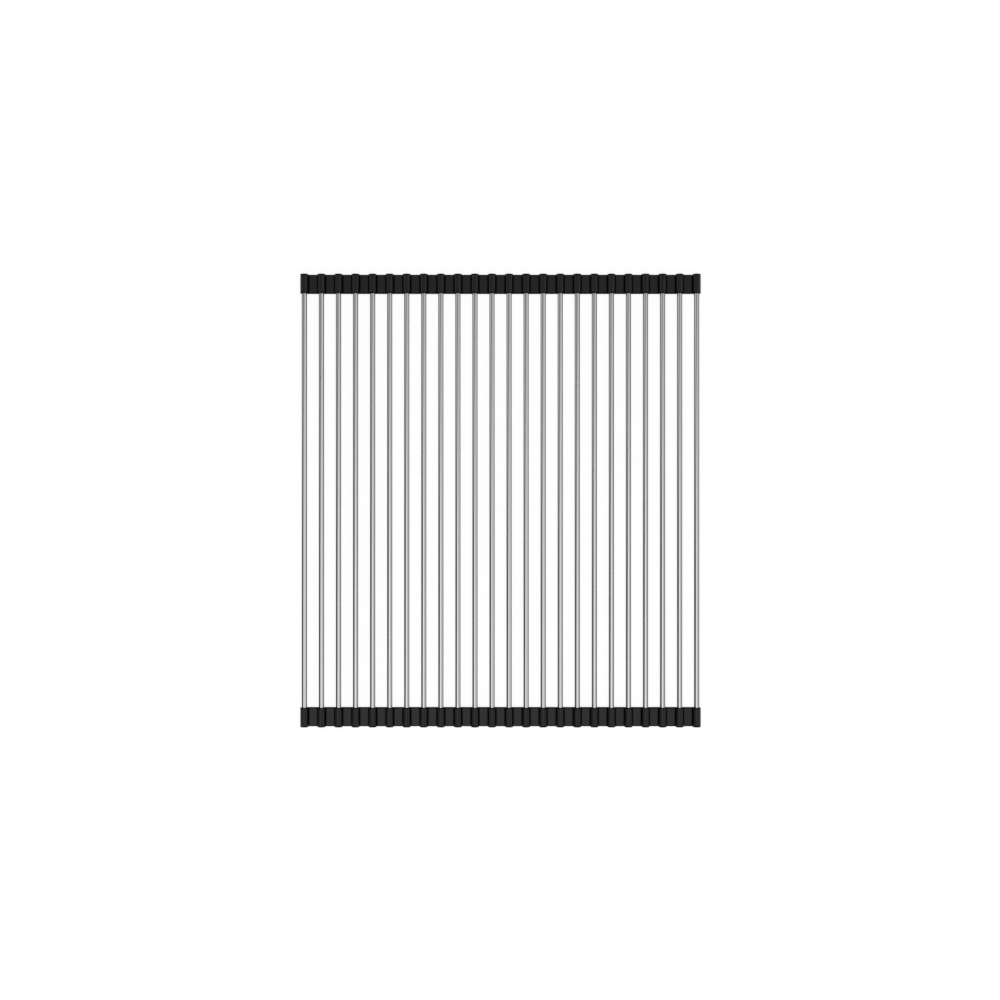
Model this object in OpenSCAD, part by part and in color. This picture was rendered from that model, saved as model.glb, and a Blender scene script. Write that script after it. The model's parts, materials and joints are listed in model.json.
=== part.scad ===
// Roll-up drying rack that lies across a kitchen sink.
//
// Thin steel rods lie side by side. At each end they sit in a moulded silicone
// strip: a row of blind sleeves, one on each rod end, joined by flat webs. The
// webs are the hinges, so the rack rolls up with its sleeves on the inside.
//
// The rack is drawn flat, with its underside at z = 0. The origin is at the
// middle of the underside, the rods run along Y and +Z is up. Each strip is
// drawn as one link per rod: the link's sleeve with half of the web on each
// side. Two links meet face to face at the middle of a web. They turn about
// the upper edge of that face, so rolling up opens the joint from below.

/* [Rack] */
// Length over the closed ends of the sleeves, along the rods
rack_l = 431; // [250:1:600]
// Number of rods
rod_count = 24; // [4:1:30]
// Spacing of the rods, centre to centre
rod_pitch = 16.23; // [12:0.01:30]

/* [Rods] */
// Outside diameter of a rod
rod_d = 5; // [3:0.1:7]
// Wall of a rod, which is a thin tube
rod_wall = 0.6; // [0.3:0.1:1.2]

/* [Silicone strips] */
// Wall of a sleeve around its rod
sleeve_wall = 1.35; // [0.8:0.05:2.5]
// Thickness of a sleeve's closed end
end_wall = 2; // [1:0.1:6]
// Rounding of the rim of a sleeve's closed end
rim_r = 0.6; // [0.1:0.1:1.2]
// Depth of the flat along the underside of a sleeve
sole_cut = 0.2; // [0.1:0.1:0.6]
// How far the sleeves stand out past the web's outer edge
sleeve_lip = 0.3; // [0:0.1:4]
// Width of the web, along the rods
web_w = 18.2; // [8:0.1:40]
// Thickness of the web
web_t = 2; // [1:0.1:3]
// Rounding of the web's upper edges
web_edge_r = 0.4; // [0.1:0.1:0.8]
// Fillet between the web and a sleeve
root_r = 0.5; // [0.1:0.1:1.2]

/* [Hidden] */
$fn = 64;
// Depth of the parts that are drawn into one another before they are joined
sink = 0.5;
sleeve_r = rod_d / 2 + sleeve_wall;
axis_z = sleeve_r - sole_cut;
rod_l = rack_l - 2 * end_wall;
sleeve_l = web_w + sleeve_lip;
strip_y = rack_l / 2 - sleeve_l;

function two_digits(i) = str(i < 10 ? "0" : "", i);
function rod_name(i) = str("rod_", two_digits(i));
function sleeves_name(i) = str("sleeves_", two_digits(i));
function rod_x(i) = (i - (rod_count + 1) / 2) * rod_pitch;

// Lays children drawn along +Z along +Y, with their foot on the rod's axis.
module along_rod() {
    translate([0, 0, axis_z]) rotate([-90, 0, 0]) children();
}

// One rod: a tube whose ends stand on the bottoms of its two sockets.
module rod(i) {
    color("silver")
        translate([rod_x(i), -rod_l / 2, 0])
            along_rod() difference() {
                cylinder(h = rod_l, d = rod_d);
                translate([0, 0, -sink])
                    cylinder(h = rod_l + 2 * sink, d = rod_d - 2 * rod_wall);
            }
}

// Half section of a sleeve: a bar with a rounded rim at its closed end.
module sleeve_section() {
    square([sleeve_r, sleeve_l - rim_r]);
    square([sleeve_r - rim_r, sleeve_l]);
    translate([sleeve_r - rim_r, sleeve_l - rim_r]) intersection() {
        circle(r = rim_r);
        square(rim_r);
    }
}

// The sleeve as a plain bar, cut flat along its underside.
module sleeve_bar() {
    difference() {
        along_rod() rotate_extrude() sleeve_section();
        translate([-sleeve_r, -sink, -sleeve_r])
            cube([2 * sleeve_r, sleeve_l + 2 * sink, sleeve_r]);
    }
}

// Section of the web across its width: a flat bar with rounded upper edges.
module web_section() {
    square([web_w, web_t - web_edge_r]);
    translate([web_edge_r, 0]) square([web_w - 2 * web_edge_r, web_t]);
    for (y = [web_edge_r, web_w - web_edge_r])
        translate([y, web_t - web_edge_r]) circle(r = web_edge_r);
}

// Half a web, from the rod's axis out to the face where two links meet.
module half_web() {
    rotate([90, 0, 90]) linear_extrude(height = rod_pitch / 2) web_section();
}

// Section of the fillet in the corner between the web and the sleeve. Its arc
// touches the web's top and the sleeve's flank.
module root_section() {
    centre_z = web_t + root_r;
    drop = axis_z - centre_z;
    reach = sleeve_r + root_r;
    centre_x = sqrt(reach * reach - drop * drop);
    touch = sleeve_r / reach;
    difference() {
        polygon([
            [0, web_t - sink],
            [centre_x, web_t - sink],
            [centre_x, web_t],
            [centre_x * touch, axis_z - drop * touch],
            [0, axis_z - drop * touch]
        ]);
        translate([centre_x, centre_z]) circle(r = root_r);
    }
}

// The fillet along the flat part of the web's top.
module root_fillet() {
    translate([0, web_w - web_edge_r, 0]) rotate([90, 0, 0])
        linear_extrude(height = web_w - 2 * web_edge_r) root_section();
}

// One link of a strip: a sleeve with half a web on each side that has a
// neighbour, bored from its inner end for the rod.
module strip_link(sides) {
    difference() {
        union() {
            sleeve_bar();
            for (side = sides) mirror([side, 0, 0]) {
                half_web();
                root_fillet();
            }
        }
        translate([0, -sink, 0]) along_rod()
            cylinder(h = sleeve_l - end_wall + sink, d = rod_d);
    }
}

// The two links on one rod, at its back and front ends. The first link has
// no web on its left side, and the last has none on its right side.
module sleeves(i) {
    sides = [if (i < rod_count) 0, if (i > 1) 1];
    color("#202022")
        for (end = [0, 1]) mirror([0, end, 0])
            translate([rod_x(i), strip_y, 0]) strip_link(sides);
}

for (i = [1:rod_count]) {
    rod(i);
    sleeves(i);
}
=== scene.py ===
"""Looks for a roll-up sink drying rack: steel rods in two moulded silicone strips."""

import json
import math

import bpy
import numpy as np
from bpy.props import FloatProperty, FloatVectorProperty, IntProperty, PointerProperty
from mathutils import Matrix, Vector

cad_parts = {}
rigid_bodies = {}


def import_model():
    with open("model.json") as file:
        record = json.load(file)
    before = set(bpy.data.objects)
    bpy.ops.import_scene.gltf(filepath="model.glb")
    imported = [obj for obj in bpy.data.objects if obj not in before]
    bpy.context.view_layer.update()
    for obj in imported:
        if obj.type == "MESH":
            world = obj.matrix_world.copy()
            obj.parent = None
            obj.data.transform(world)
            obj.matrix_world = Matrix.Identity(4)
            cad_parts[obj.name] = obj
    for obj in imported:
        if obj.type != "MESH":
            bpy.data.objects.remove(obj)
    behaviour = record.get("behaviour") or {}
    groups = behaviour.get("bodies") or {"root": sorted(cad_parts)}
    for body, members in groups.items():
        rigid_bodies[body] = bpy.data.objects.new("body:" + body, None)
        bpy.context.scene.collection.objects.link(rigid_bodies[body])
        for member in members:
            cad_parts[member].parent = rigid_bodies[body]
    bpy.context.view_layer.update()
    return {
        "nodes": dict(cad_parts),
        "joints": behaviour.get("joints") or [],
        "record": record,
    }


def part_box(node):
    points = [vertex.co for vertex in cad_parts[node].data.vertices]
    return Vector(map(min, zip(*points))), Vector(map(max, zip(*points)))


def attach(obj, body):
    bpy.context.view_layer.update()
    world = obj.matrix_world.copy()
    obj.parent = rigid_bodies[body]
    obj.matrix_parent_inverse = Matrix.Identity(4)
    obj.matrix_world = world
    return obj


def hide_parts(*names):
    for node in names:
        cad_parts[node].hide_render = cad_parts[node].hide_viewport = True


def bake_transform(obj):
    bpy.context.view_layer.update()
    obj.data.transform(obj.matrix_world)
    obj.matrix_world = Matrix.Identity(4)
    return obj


bl_info = {
    "name": "Roll-up sink rack",
    "version": (1, 0, 0),
    "blender": (4, 5, 0),
    "location": "View3D > Sidebar > Sink rack",
    "description": "Dresses a rack of steel rods and silicone strips and sets its stage",
    "category": "Add Mesh",
}

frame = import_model()
RODS = sorted(n for n in frame["nodes"] if n.startswith("rod_"))
SLEEVES = sorted(n for n in frame["nodes"] if n.startswith("sleeves_"))
BODY_OF = {
    node: body
    for body, nodes in frame["record"]["behaviour"]["bodies"].items()
    for node in nodes
}
MM = 0.001
DEGREE = math.radians(1)
CREASE = 40 * DEGREE  # two faces that meet at more than this keep a sharp edge
SKIN = "black_silicone"  # name of the material that sleeves and webs share
WHITE = (1.0, 1.0, 1.0)


# ---------------------------------------------------------------- sizes and colours


class RackSteel(bpy.types.PropertyGroup):
    """Size and finish of the rods, and the painted shade on their flanks."""

    radius: FloatProperty(
        name="Rod radius",
        description="Outside radius of a rod",
        default=2.5 * MM,
        min=1 * MM,
        unit="LENGTH",
    )
    wall: FloatProperty(
        name="Rod wall",
        description="Wall of the thin tube a rod is made of",
        default=0.6 * MM,
        min=0.2 * MM,
        unit="LENGTH",
    )
    sides: IntProperty(
        name="Sides",
        description="Facets round a rod",
        default=64,
        min=24,
        max=128,
    )
    colour: FloatVectorProperty(
        name="Steel",
        description="Colour of the steel seen square on",
        default=(0.66, 0.65, 0.64),
        subtype="COLOR",
    )
    # Painted shade: a near-black copy of the steel's colour, put on the rods' upper flanks at a
    # glancing angle in place of the dark surroundings they would reflect.
    flank_colour: FloatVectorProperty(
        name="Steel flank",
        description="Duller colour of the steel's gloss at a glancing angle",
        default=(0.025, 0.025, 0.025),
        subtype="COLOR",
    )
    roughness: FloatProperty(
        name="Polish",
        description="Roughness of the drawn and polished tube",
        default=0.11,
        min=0.02,
        max=1,
        subtype="FACTOR",
    )


class RackSilicone(bpy.types.PropertyGroup):
    """Sizes and finish of the silicone strips."""

    sleeve_radius: FloatProperty(
        name="Sleeve radius",
        description="Outside radius of a sleeve",
        default=3.85 * MM,
        min=2 * MM,
        unit="LENGTH",
    )
    sleeve_length: FloatProperty(
        name="Sleeve length",
        description="Length of a sleeve from its mouth to its closed end",
        default=18.5 * MM,
        min=5 * MM,
        unit="LENGTH",
    )
    end_wall: FloatProperty(
        name="End wall",
        description="Thickness of a sleeve's closed end",
        default=2.0 * MM,
        min=0.5 * MM,
        unit="LENGTH",
    )
    rim: FloatProperty(
        name="Rim round",
        description="Rounding of the rim of the closed end",
        default=0.6 * MM,
        min=0.1 * MM,
        unit="LENGTH",
    )
    mouth: FloatProperty(
        name="Mouth round",
        description="Rounding of both edges of the sleeve's mouth",
        default=0.12 * MM,
        min=0.05 * MM,
        unit="LENGTH",
    )
    sole: FloatProperty(
        name="Sole",
        description="How far the sleeve's round is pressed flat underneath",
        default=0.2 * MM,
        min=0.05 * MM,
        unit="LENGTH",
    )
    web_width: FloatProperty(
        name="Web width",
        description="Width of the web along the rods",
        default=18.2 * MM,
        min=5 * MM,
        unit="LENGTH",
    )
    web_edge: FloatProperty(
        name="Web edge round",
        description="Rounding of the web's upper edges",
        default=0.4 * MM,
        min=0.05 * MM,
        unit="LENGTH",
    )
    web_sole_edge: FloatProperty(
        name="Web sole round",
        description="Rounding of the web's lower edges",
        default=0.1 * MM,
        min=0.02 * MM,
        unit="LENGTH",
    )
    root: FloatProperty(
        name="Root fillet",
        description="Fillet where a web runs into a sleeve",
        default=0.3 * MM,
        min=0.1 * MM,
        unit="LENGTH",
    )
    bend: FloatProperty(
        name="Bend",
        description="Length of the stretch at a web's middle that bends",
        default=7.0 * MM,
        min=1 * MM,
        unit="LENGTH",
    )
    colour: FloatVectorProperty(
        name="Silicone",
        description="Colour of the black silicone",
        default=(0.0018, 0.0018, 0.0019),
        subtype="COLOR",
    )
    roughness: FloatProperty(
        name="Sheen",
        description="Roughness of the moulded skin",
        default=0.33,
        min=0.05,
        max=1,
        subtype="FACTOR",
    )


class RackStage(bpy.types.PropertyGroup):
    """Camera, floor and light."""

    camera_height: FloatProperty(
        name="Camera height",
        description="Height of the camera over the floor",
        default=1.3254,
        min=0.5,
        unit="LENGTH",
    )
    camera_shift: FloatVectorProperty(
        name="Camera place",
        description="Place of the camera over the middle of the rack",
        default=(-0.5 * MM, 0.5 * MM),
        size=2,
        subtype="TRANSLATION",
    )
    lens: FloatProperty(
        name="Lens",
        description="Focal length for a sensor 36 mm wide",
        default=50.0,
        min=20,
        subtype="DISTANCE_CAMERA",
    )
    floor_size: FloatProperty(
        name="Floor",
        description="Length of the square floor's side",
        default=24.0,
        min=2,
        unit="LENGTH",
    )
    floor_colour: FloatVectorProperty(
        name="Floor colour",
        description="Colour of the plain floor",
        default=(0.96, 0.96, 0.96),
        subtype="COLOR",
    )
    lamp_place: FloatVectorProperty(
        name="Lamp place",
        description="Place of the soft lamp from the middle of the rack",
        default=(0.35, -0.45, 1.9),
        subtype="TRANSLATION",
    )
    lamp_size: FloatProperty(
        name="Lamp size",
        description="Side of the square soft lamp",
        default=1.4,
        min=0.1,
        unit="LENGTH",
    )
    lamp_power: FloatProperty(
        name="Lamp power",
        description="Power of the soft lamp",
        default=15.5,
        min=0,
        unit="POWER",
    )


# ---------------------------------------------------------------- shader arithmetic


class Wire:
    """A shader socket that takes part in arithmetic. Each operation adds a Math node."""

    def __init__(self, graph, socket):
        self.graph, self.socket = graph, socket

    def _math(self, operation, *values):
        return self.graph.add("Math", {"operation": operation}, *values)

    def __add__(self, other):
        return self._math("ADD", self, other)

    __radd__ = __add__

    def __sub__(self, other):
        return self._math("SUBTRACT", self, other)

    def __rsub__(self, other):
        return self._math("SUBTRACT", other, self)

    def __mul__(self, other):
        return self._math("MULTIPLY", self, other)

    __rmul__ = __mul__

    def __abs__(self):
        return self._math("ABSOLUTE", self)


class Graph:
    """The node tree of a material or of the world."""

    def __init__(self, owner):
        owner.use_nodes = True
        self.tree = owner.node_tree
        self.tree.nodes.clear()

    def add(self, kind, settings=None, *values, out=0, at=None, **named):
        """Adds a node: first its settings, then the values or links of its sockets, given in
        order, by number in at, or by name. Returns the output out, a number or a name."""
        node = self.tree.nodes.new("ShaderNode" + kind)
        for key, value in (settings or {}).items():
            setattr(node, key, value)
        for place, value in [*enumerate(values), *(at or {}).items(), *named.items()]:
            if isinstance(place, str):
                place = place.replace("_", " ")
            self._feed(node.inputs[place], value)
        return Wire(self, node.outputs[out]) if node.outputs else node

    def _feed(self, socket, value):
        if isinstance(value, Wire):
            self.tree.links.new(value.socket, socket)
        elif hasattr(value, "__len__") and len(value) == 3 and len(socket.default_value) == 4:
            socket.default_value = (*value, 1.0)
        else:
            socket.default_value = value

    def split(self, vector):
        """The three parts of a vector."""
        node = self.add("SeparateXYZ", None, vector).socket.node
        return [Wire(self, socket) for socket in node.outputs]

    def smooth(self, value, low, high):
        """0 below low, 1 above high and a soft step between. Swapped ends turn it round."""
        return self.add(
            "MapRange",
            {"interpolation_type": "SMOOTHSTEP"},
            Value=value,
            From_Min=low,
            From_Max=high,
        )

    def facing(self):
        """0 where the surface is seen square on, 1 at its outline."""
        return self.add("LayerWeight", Blend=0.5, out="Facing")

    def larger(self, first, second):
        """The larger of two values."""
        return self.add("Math", {"operation": "MAXIMUM"}, first, second)

    def blend(self, factor, colour, low, high):
        """The colour times low where factor is 0 and times high where it is 1. A Mix node's
        sockets 6 and 7 take its two colours, and its output 2 gives the blend."""
        shades = {6: [low * c for c in colour], 7: [high * c for c in colour]}
        return self.add("Mix", {"data_type": "RGBA"}, factor, out=2, at=shades)

    def noise(self, vector, scale, detail=2.0, roughness=0.5):
        """Grey noise with that many cells a metre."""
        return self.add(
            "TexNoise",
            Vector=vector,
            Scale=scale,
            Detail=detail,
            Roughness=roughness,
        )

    def stretched(self, vector, scale):
        """The coordinates scaled along each axis, so that a pattern is drawn out."""
        return self.add("VectorMath", {"operation": "MULTIPLY"}, vector, scale)


def finish_material(name):
    """An empty material and its graph."""
    material = bpy.data.materials.new(name)
    return material, Graph(material)


def steel_material(steel):
    """Drawn stainless tube: fine lines along the rod and broad patches of wear, which vary
    the roughness and the bump. The face is bright. The upper flanks, where the rod's own
    normal leans across it, are painted with a near-black copy of the steel at a glancing angle:
    painted shade in place of the dark surroundings they would reflect."""
    material, g = finish_material("drawn_steel")
    place = g.add("TexCoord", out="Object")
    drawn, worn = (1.0, 0.012, 1.0), (1.0, 0.25, 1.0)
    lines = g.noise(g.stretched(place, drawn), scale=5200.0, detail=3.0, roughness=0.6)
    patches = g.noise(g.stretched(place, worn), scale=60.0)
    rough = steel.roughness + 0.06 * (lines - 0.5) + 0.04 * (patches - 0.5)
    bump = g.add("Bump", Strength=0.05, Distance=0.02 * MM, Height=lines)
    face = g.add(
        "BsdfPrincipled",
        Base_Color=steel.colour,
        Metallic=1.0,
        Roughness=rough,
        Normal=bump,
    )
    # Painted shade: the near-black copy of the steel for the upper flanks.
    flank = g.add(
        "BsdfPrincipled",
        Base_Color=steel.flank_colour,
        Metallic=1.0,
        Roughness=rough + 0.1,
        Normal=bump,
    )
    across, _, up = g.split(g.add("TexCoord", out="Normal"))
    # Painted shade on the upper flanks: the near-black copy takes over where the normal leans
    # from 19 to 39 degrees off the top, and the view from 33 to 50 degrees off square on.
    flank_shade_mask = g.smooth(abs(across), 0.33, 0.63) * g.smooth(up, -0.3, 0.0)
    glancing = g.smooth(g.facing(), 0.16, 0.36)
    g.add("OutputMaterial", None, g.add("MixShader", None, flank_shade_mask * glancing, face, flank))
    return material


def silicone_material(silicone):
    """Moulded black silicone: skin with a fine grain and faint cloudy patches, which vary
    the colour, the roughness and the bump. Painted shade: where the points are marked as shaded,
    which is in the creases beside the sleeves, along the upper edges and round the mouths and
    rims, and on upright faces at a glancing angle, the skin turns into a darker copy without
    gloss."""
    material, g = finish_material(SKIN)
    place = g.add("TexCoord", out="Object")
    grain = g.noise(place, scale=2600.0, detail=2.0, roughness=0.6)
    cloud = g.noise(place, scale=90.0, detail=3.0)
    bump = g.add("Bump", Strength=0.25, Distance=0.03 * MM, Height=grain)
    face = g.add(
        "BsdfPrincipled",
        Base_Color=g.blend(g.smooth(cloud, 0.35, 0.7), silicone.colour, 0.85, 1.2),
        Roughness=silicone.roughness + 0.08 * (cloud - 0.5) + 0.06 * (grain - 0.5),
        IOR=1.4,
        Normal=bump,
    )
    painted_shade_skin = g.add(
        "BsdfPrincipled",
        Base_Color=[0.5 * c for c in silicone.colour],
        Roughness=0.7,
        IOR=1.4,
        Specular_IOR_Level=0.03,
        Normal=bump,
    )
    # Painted shade: the darker copy without gloss takes over where the points are marked shaded
    # and on upright faces seen at a glancing angle.
    level = g.add("Attribute", {"attribute_name": "level"}, out="Fac")
    shine = g.add("Attribute", {"attribute_name": "shine"}, out="Fac")
    glancing = g.smooth(g.facing(), 0.2, 0.55) * g.smooth(level, 0.85, 0.4)
    g.add("OutputMaterial", None, g.add("MixShader", None, (1 - glancing) * shine, painted_shade_skin, face))
    return material


# ---------------------------------------------------------------- surfaces


def ring_mesh(rings, first_pole, last_pole):
    """Points and faces of a closed surface: rings of points along a path, each joined to
    the next by a band of quads, and each end ring joined to its pole by a fan."""
    rows, columns = rings.shape[:2]
    points = np.concatenate([rings.reshape(-1, 3), [first_pole, last_pole]])
    index = np.arange(rows * columns).reshape(rows, columns)
    after = np.roll(index, -1, axis=1)
    bands = np.stack([index[:-1], after[:-1], after[1:], index[1:]], axis=-1).reshape(-1, 4)
    pole = np.full(columns, rows * columns)
    first_fan = np.stack([pole, after[0], index[0]], axis=-1)
    last_fan = np.stack([pole + 1, index[-1], after[-1]], axis=-1)
    return points, [*bands.tolist(), *first_fan.tolist(), *last_fan.tolist()]


def outward(points, faces):
    """The faces turned outwards: the signed volume under a closed surface is positive."""
    corners = np.array([[f[0], f[i], f[i + 1]] for f in faces for i in range(1, len(f) - 1)])
    a, b, c = (points[corners[:, i]] for i in range(3))
    if np.einsum("ij,ij->", a, np.cross(b, c)) < 0:
        return [f[::-1] for f in faces]
    return faces


def note(mesh, name, domain, values):
    """Stores a number for each point or corner of a mesh as an attribute."""
    attribute = mesh.attributes.new(name, "FLOAT", domain)
    attribute.data.foreach_set("value", np.asarray(values, dtype=np.float32))


def make_piece(name, solids, material):
    """One object from closed solids, each given as points, faces and how unshaded each point is:
    0 where the skin is painted with shade, 1 where it is not. Its attribute level is the height
    part
    of the normal, without its sign: 1 where a face lies flat on the unrolled rack and 0 where it
    stands upright."""
    points, faces, shine, base = [], [], [], 0
    for solid_points, solid_faces, solid_unshaded in solids:
        solid_faces = outward(solid_points, solid_faces)
        points.append(solid_points)
        shine.append(solid_unshaded)
        faces += [[base + i for i in f] for f in solid_faces]
        base += len(solid_points)
    mesh = bpy.data.meshes.new(name)
    mesh.from_pydata(np.concatenate(points), [], faces)
    mesh.shade_smooth()
    mesh.set_sharp_from_angle(angle=CREASE)
    normals = np.empty(3 * len(mesh.loops), dtype=np.float32)
    mesh.corner_normals.foreach_get("vector", normals)
    note(mesh, "level", "CORNER", np.abs(normals[2::3]))
    note(mesh, "shine", "POINT", np.concatenate(shine))
    mesh.materials.append(material)
    piece = bpy.data.objects.new(name, mesh)
    bpy.context.scene.collection.objects.link(piece)
    return piece


def arc(centre, radius, start, end, steps):
    """Points on an arc, from one angle to another in degrees: the centre plus the radius
    times the cosine and the sine of the angle."""
    angle = np.radians(np.linspace(start, end, steps + 1))
    x, y = centre[0] + radius * np.cos(angle), centre[1] + radius * np.sin(angle)
    return np.stack([x, y], axis=-1)


def revolve(profile, sides, axis_point, along):
    """A profile of (radius, distance) pairs turned about a line along Y. The point at
    angle t is (radius cos t, distance, radius sin t) from the axis point."""
    turn = np.linspace(0, 2 * np.pi, sides, endpoint=False)
    radius, distance = profile[:, 0, None], profile[:, 1, None]
    x = axis_point[0] + radius * np.cos(turn)
    y = axis_point[1] + along * distance + 0 * turn
    z = axis_point[2] + radius * np.sin(turn)
    return np.stack([x, y, z], axis=-1)


def rod_solid(steel, axis_x, axis_z, half_length):
    """A tube: the closed section of its wall turned about the rod's axis. The section runs
    from the middle of the bore to one end, back along the outside to the other end, and
    through the bore again. It is marked unshaded all over."""
    bore = steel.radius - steel.wall
    profile = np.array([
        [bore, 0.0],
        [bore, half_length],
        [steel.radius, half_length],
        [steel.radius, -half_length],
        [bore, -half_length],
    ])
    rings = revolve(profile, steel.sides, (axis_x, 0.0, axis_z), 1)
    index = np.arange(rings[..., 0].size).reshape(rings.shape[:2])
    below, after = np.roll(index, -1, axis=0), np.roll(index, -1, axis=1)
    faces = np.stack([index, after, np.roll(after, -1, axis=0), below], axis=-1)
    return rings.reshape(-1, 3), faces.reshape(-1, 4).tolist(), np.ones(index.size)


def sleeve_solid(steel, silicone, axis_x, mouth_y, along):
    """A blind sleeve: a profile turned about the rod's axis. It runs from the bottom of the
    socket out over the rounded mouth, along the outside, over the rounded rim and in to the
    middle of the closed end. A point that would lie below the floor is lifted onto it,
    which makes the flat sole. Beside each stretch of the profile stands how unshaded it is: 0,
    painted shade, round the mouth and at the start of the rim, and rising as a cube from there
    to the end."""
    radius, bore = silicone.sleeve_radius, steel.radius
    length, rim, mouth = silicone.sleeve_length, silicone.rim, silicone.mouth
    depth = length - silicone.end_wall
    mouth_steps, rim_steps = 4, 8
    # Painted shade round the mouth, where the rod goes in, and at the start of the rim.
    shaded = np.zeros(mouth_steps + 1)
    rising = np.linspace(0, 1, rim_steps + 1) ** 3
    stretches = [
        ([[bore, depth], [bore, 2 * mouth]], [1, 1]),
        (arc((bore + mouth, mouth), mouth, 180, 270, mouth_steps), shaded),
        (arc((radius - mouth, mouth), mouth, 270, 360, mouth_steps), shaded),
        ([[radius, 3 * mouth], [radius, 7 * mouth]], [0, 1]),
        ([[radius, length - 2 * rim], [radius, length - 1.5 * rim]], [1, 0]),
        (arc((radius - rim, length - rim), rim, 0, 90, rim_steps), rising),
        ([[radius - 1.5 * rim, length]], [1]),
    ]
    profile, shine = (np.concatenate(rows) for rows in zip(*stretches))
    axis_z = radius - silicone.sole
    rings = revolve(profile, steel.sides, (axis_x, mouth_y, axis_z), along)
    rings[..., 2] = np.maximum(rings[..., 2], 0.0)
    socket_pole = (axis_x, mouth_y + along * depth, axis_z)
    end_pole = (axis_x, mouth_y + along * length, axis_z)
    return *ring_mesh(rings, socket_pole, end_pole), [*np.repeat(shine, steel.sides), 1, 1]


def mirrored(half):
    """A row of values and the same row backwards, with the last value only once."""
    return np.concatenate([half, half[-2::-1]])


def web_stations(silicone, web_t, middle):
    """Distances from a sleeve's axis, as far as the web's middle, and the height of the
    web's top at each. The top lies at web_t and climbs into the sleeve's flank on the arc
    of a fillet: at a distance d it is web_t + r - sqrt(r^2 - (foot - d)^2), where r is the
    fillet's radius and foot is where its arc ends. The first two stations are hidden in
    the sleeve's wall, under the socket."""
    root, radius = silicone.root, silicone.sleeve_radius
    drop = radius - silicone.sole - web_t - root
    foot = math.sqrt((radius + root) ** 2 - drop**2)
    touch = foot * radius / (radius + root)
    hidden, hidden_top = [1.15 * MM, 2.6 * MM], [1.0 * MM, web_t]
    fillet_rows, flat_rows = 9, 12
    angle = np.linspace(math.asin((foot - touch) / root), 0, fillet_rows)
    climb = foot - root * np.sin(angle)
    flat = np.linspace(foot, middle, flat_rows + 1)[1:]
    distance = np.concatenate([hidden, climb, flat])
    rise = root - np.sqrt(root**2 - np.clip(foot - distance, 0, foot - touch) ** 2)
    return distance, np.concatenate([hidden_top, web_t + rise[2:]]), foot


def web_solid(silicone, left_x, right_x, web_t, inner_y, along):
    """A web between two sleeves: the section of a flat bar with rounded edges, carried from
    one sleeve to the other, with its upper points at the height of the web's top. How
    unshaded it is: 0, painted shade, along the upper edges, rising to 1 down their rounds and in
    from them. On top it also rises from 0, painted shade in the crease, at the foot of each
    fillet, by a soft step."""
    distance, top, foot = web_stations(silicone, web_t, (right_x - left_x) / 2)
    width, edge, sole_edge = silicone.web_width, silicone.web_edge, silicone.web_sole_edge
    edge_steps, sole_steps = 5, 3
    under = np.concatenate([
        arc((sole_edge, sole_edge), sole_edge, 180, 270, sole_steps),
        arc((width - sole_edge, sole_edge), sole_edge, 270, 360, sole_steps),
    ])
    # Painted shade along the upper edges: marked shaded from the top of each round to 1.5 rounds
    # in, and free of it 2.5 rounds in.
    outer_shaded, outer_unshaded = width - 1.5 * edge, width - 2.5 * edge
    inner_unshaded, inner_shaded = 3.0 * edge, 1.5 * edge
    over = np.concatenate([
        arc((width - edge, -edge), edge, 0, 90, edge_steps),
        [[y, 0.0] for y in (outer_shaded, outer_unshaded, inner_unshaded, inner_shaded)],
        arc((edge, -edge), edge, 90, 180, edge_steps),
    ])
    section = np.concatenate([under, over])
    raised = np.repeat([0.0, 1.0], [len(under), len(over)])
    fade = np.linspace(1, 0, edge_steps + 1)
    across = np.concatenate([np.ones(len(under)), fade, [0, 1, 1, 0], fade[::-1]])
    # Painted shade in the crease beside each sleeve: the top is marked shaded at the fillet's
    # foot and comes free of it over this reach.
    shade_reach = 1.25 * MM
    clear = np.clip((distance - foot) / shade_reach, 0, 1)
    clear = mirrored(clear**2 * (3 - 2 * clear))[:, None]
    shine = across * (1 - raised * (1 - clear))
    stations = np.concatenate([left_x + distance, right_x - distance[-2::-1]])[:, None]
    y = inner_y + along * section[:, 0] + 0 * stations
    z = section[:, 1] + raised * mirrored(top)[:, None]
    rings = np.stack([stations + 0 * y, y, z], axis=-1)
    poles = [ring.mean(axis=0) for ring in (rings[0], rings[-1])]
    return *ring_mesh(rings, *poles), [*shine.ravel(), 1, 1]


# ---------------------------------------------------------------- operators


def rod_axes():
    """x of every rod's axis, from left to right: the middle of its node's box."""
    return [(low.x + high.x) / 2 for low, high in map(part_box, RODS)]


def mouth_y(silicone):
    """Distance from the middle of the rack to the mouths of the sleeves."""
    return frame["record"]["size"]["bbox_m"][1] / 2 - silicone.sleeve_length


class RACK_OT_rods(bpy.types.Operator):
    """Draw each rod as a fine steel tube"""

    bl_idname = "rack.rods"
    bl_label = "Steel rods"

    def execute(self, context):
        steel, silicone = context.scene.rack_steel, context.scene.rack_silicone
        material = steel_material(steel)
        half_length = mouth_y(silicone) + silicone.sleeve_length - silicone.end_wall
        axis_z = silicone.sleeve_radius - silicone.sole
        for node, axis_x in zip(RODS, rod_axes()):
            solid = rod_solid(steel, axis_x, axis_z, half_length)
            piece = make_piece("steel_" + node, [solid], material)
            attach(piece, BODY_OF[node])
            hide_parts(node)
        return {"FINISHED"}


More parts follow.
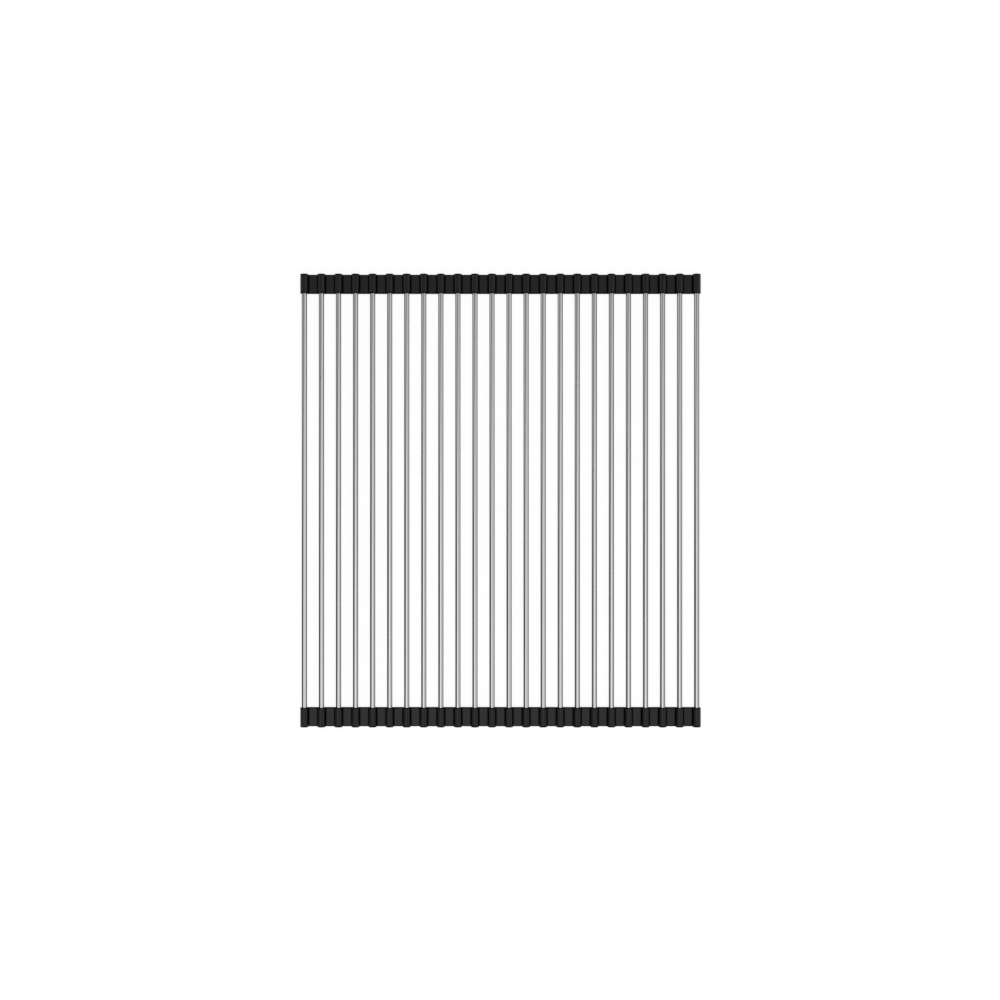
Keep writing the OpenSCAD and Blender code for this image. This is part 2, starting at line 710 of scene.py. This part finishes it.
class RACK_OT_sleeves(bpy.types.Operator):
    """Draw the sleeves on both ends of each rod"""

    bl_idname = "rack.sleeves"
    bl_label = "Silicone sleeves"

    def execute(self, context):
        steel, silicone = context.scene.rack_steel, context.scene.rack_silicone
        material = silicone_material(silicone)
        mouth = mouth_y(silicone)
        for node, axis_x in zip(SLEEVES, rod_axes()):
            solids = [
                sleeve_solid(steel, silicone, axis_x, side * mouth, side) for side in (1, -1)
            ]
            piece = make_piece("silicone_" + node, solids, material)
            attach(piece, BODY_OF[node])
            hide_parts(node)
        return {"FINISHED"}


class RACK_OT_webs(bpy.types.Operator):
    """Draw the webs that join the sleeves, flat as they lie before they bend to roll the rack up
    """

    bl_idname = "rack.webs"
    bl_label = "Silicone webs"

    def execute(self, context):
        silicone = context.scene.rack_silicone
        material = bpy.data.materials.get(SKIN) or silicone_material(silicone)
        body_x = {BODY_OF[rod]: x for rod, x in zip(RODS, rod_axes())}
        mouth = mouth_y(silicone)
        for joint in frame["joints"]:
            left, right = sorted((joint["parent"], joint["child"]), key=body_x.get)
            hinge_x, _, web_t = joint["pos_m"]
            solids = [
                web_solid(silicone, body_x[left], body_x[right], web_t, side * mouth, side)
                for side in (1, -1)
            ]
            piece = make_piece("silicone_" + joint["name"], solids, material)
            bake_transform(piece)
        return {"FINISHED"}


class RACK_OT_stage(bpy.types.Operator):
    """Lay the pale floor, light it softly and set the camera over the rack"""

    bl_idname = "rack.stage"
    bl_label = "Stage"

    def execute(self, context):
        stage = context.scene.rack_stage
        context.scene.view_settings.view_transform = "Standard"
        lay_floor(stage)
        light_world(context.scene)
        hang_lamp(stage)
        set_camera(stage)
        return {"FINISHED"}


def lay_floor(stage):
    """A plain pale square just under the rack. To the camera and in reflections it is 84%
    plain white, and the rest of it takes the light and keeps a faint shadow."""
    half, below = stage.floor_size / 2, -0.2 * MM
    mesh = bpy.data.meshes.new("floor")
    corners = [(-half, -half), (half, -half), (half, half), (-half, half)]
    mesh.from_pydata([(x, y, below) for x, y in corners], [], [(0, 1, 2, 3)])
    material, g = finish_material("pale_floor")
    camera, glossy, through = (
        g.add("LightPath", out=f"Is {rays} Ray") for rays in ("Camera", "Glossy", "Transmission")
    )
    white_share = 0.84 * g.larger(g.larger(camera, glossy), through)
    lit = g.add("BsdfDiffuse", Color=stage.floor_colour)
    white = g.add("Emission", Color=WHITE, Strength=1.0)
    g.add("OutputMaterial", None, g.add("MixShader", None, white_share, lit, white))
    mesh.materials.append(material)
    floor = bpy.data.objects.new("floor", mesh)
    bpy.context.scene.collection.objects.link(floor)


def light_world(scene):
    """A pale studio, as a brightness for each direction (x, y, z). Its two angles are
    across = atan2(x, z), to the right of straight up, and along = asin(y), to the far side.
    The ceiling's 0.55 rises by 0.5 towards the walls, as z falls, and by 0.82 in a soft
    panel over the near side. A dark boom takes most of it away round the slanting line
    across = 2.8 along - 51 degrees. It is wider and darker on the near side, and it fades
    out just over the horizon."""
    world = scene.world or bpy.data.worlds.new("studio")
    scene.world = world
    g = Graph(world)
    x, y, z = g.split(g.add("TexCoord", out="Generated"))
    across = g.add("Math", {"operation": "ARCTAN2"}, x, z)
    along = g.add("Math", {"operation": "ARCSINE"}, y)
    walls = g.smooth(z, 0.89, 0.35)
    panel = g.smooth(along, 12 * DEGREE, -5 * DEGREE)
    panel *= g.smooth(abs(across + 7 * DEGREE), 22 * DEGREE, 15 * DEGREE)
    near = g.smooth(along, 15 * DEGREE, -15 * DEGREE)
    core = 4 * DEGREE + 16 * DEGREE * near
    boom = g.smooth(abs(across + 51 * DEGREE - 2.8 * along), 32 * DEGREE, core)
    boom *= (0.8 + 0.17 * near) * g.smooth(z, 0.08, 0.25)
    level = (0.55 + 0.5 * walls + 0.82 * panel) * (1 - boom)
    g.add("OutputWorld", None, g.add("Background", Color=WHITE, Strength=level))


def hang_lamp(stage):
    """One large square lamp over the rack, tilted towards it and left out of reflections."""
    lamp = bpy.data.lights.new("soft_lamp", "AREA")
    lamp.size, lamp.energy = stage.lamp_size, stage.lamp_power
    hanging = bpy.data.objects.new("soft_lamp", lamp)
    hanging.location = stage.lamp_place
    hanging.rotation_euler = (13 * DEGREE, 10 * DEGREE, 0)
    hanging.visible_glossy = False
    bpy.context.scene.collection.objects.link(hanging)


def set_camera(stage):
    """A camera that looks straight down on the rack, with the far strip at the top."""
    camera = bpy.data.cameras.new("camera")
    camera.lens, camera.sensor_width = stage.lens, 36.0
    holder = bpy.data.objects.new("camera", camera)
    holder.location = (*stage.camera_shift, stage.camera_height)
    bpy.context.scene.collection.objects.link(holder)
    bpy.context.scene.camera = holder


class RACK_PT_panel(bpy.types.Panel):
    """The rack's pieces and stage in the sidebar"""

    bl_label = "Sink rack"
    bl_idname = "RACK_PT_panel"
    bl_space_type = "VIEW_3D"
    bl_region_type = "UI"
    bl_category = "Sink rack"

    def draw(self, context):
        for title, group, operators in (
            ("Rods", context.scene.rack_steel, ["rack.rods"]),
            ("Strips", context.scene.rack_silicone, ["rack.sleeves", "rack.webs"]),
            ("Stage", context.scene.rack_stage, ["rack.stage"]),
        ):
            box = self.layout.box()
            box.label(text=title)
            for name in group.__annotations__:
                box.prop(group, name)
            for operator in operators:
                box.operator(operator)


CLASSES = (
    RackSteel,
    RackSilicone,
    RackStage,
    RACK_OT_rods,
    RACK_OT_sleeves,
    RACK_OT_webs,
    RACK_OT_stage,
    RACK_PT_panel,
)


def register():
    for cls in CLASSES:
        bpy.utils.register_class(cls)
    bpy.types.Scene.rack_steel = PointerProperty(type=RackSteel)
    bpy.types.Scene.rack_silicone = PointerProperty(type=RackSilicone)
    bpy.types.Scene.rack_stage = PointerProperty(type=RackStage)


def unregister():
    del bpy.types.Scene.rack_stage
    del bpy.types.Scene.rack_silicone
    del bpy.types.Scene.rack_steel
    for cls in reversed(CLASSES):
        bpy.utils.unregister_class(cls)


def main():
    register()
    bpy.ops.rack.rods()
    bpy.ops.rack.sleeves()
    bpy.ops.rack.webs()
    bpy.ops.rack.stage()


if __name__ == "__main__":
    main()
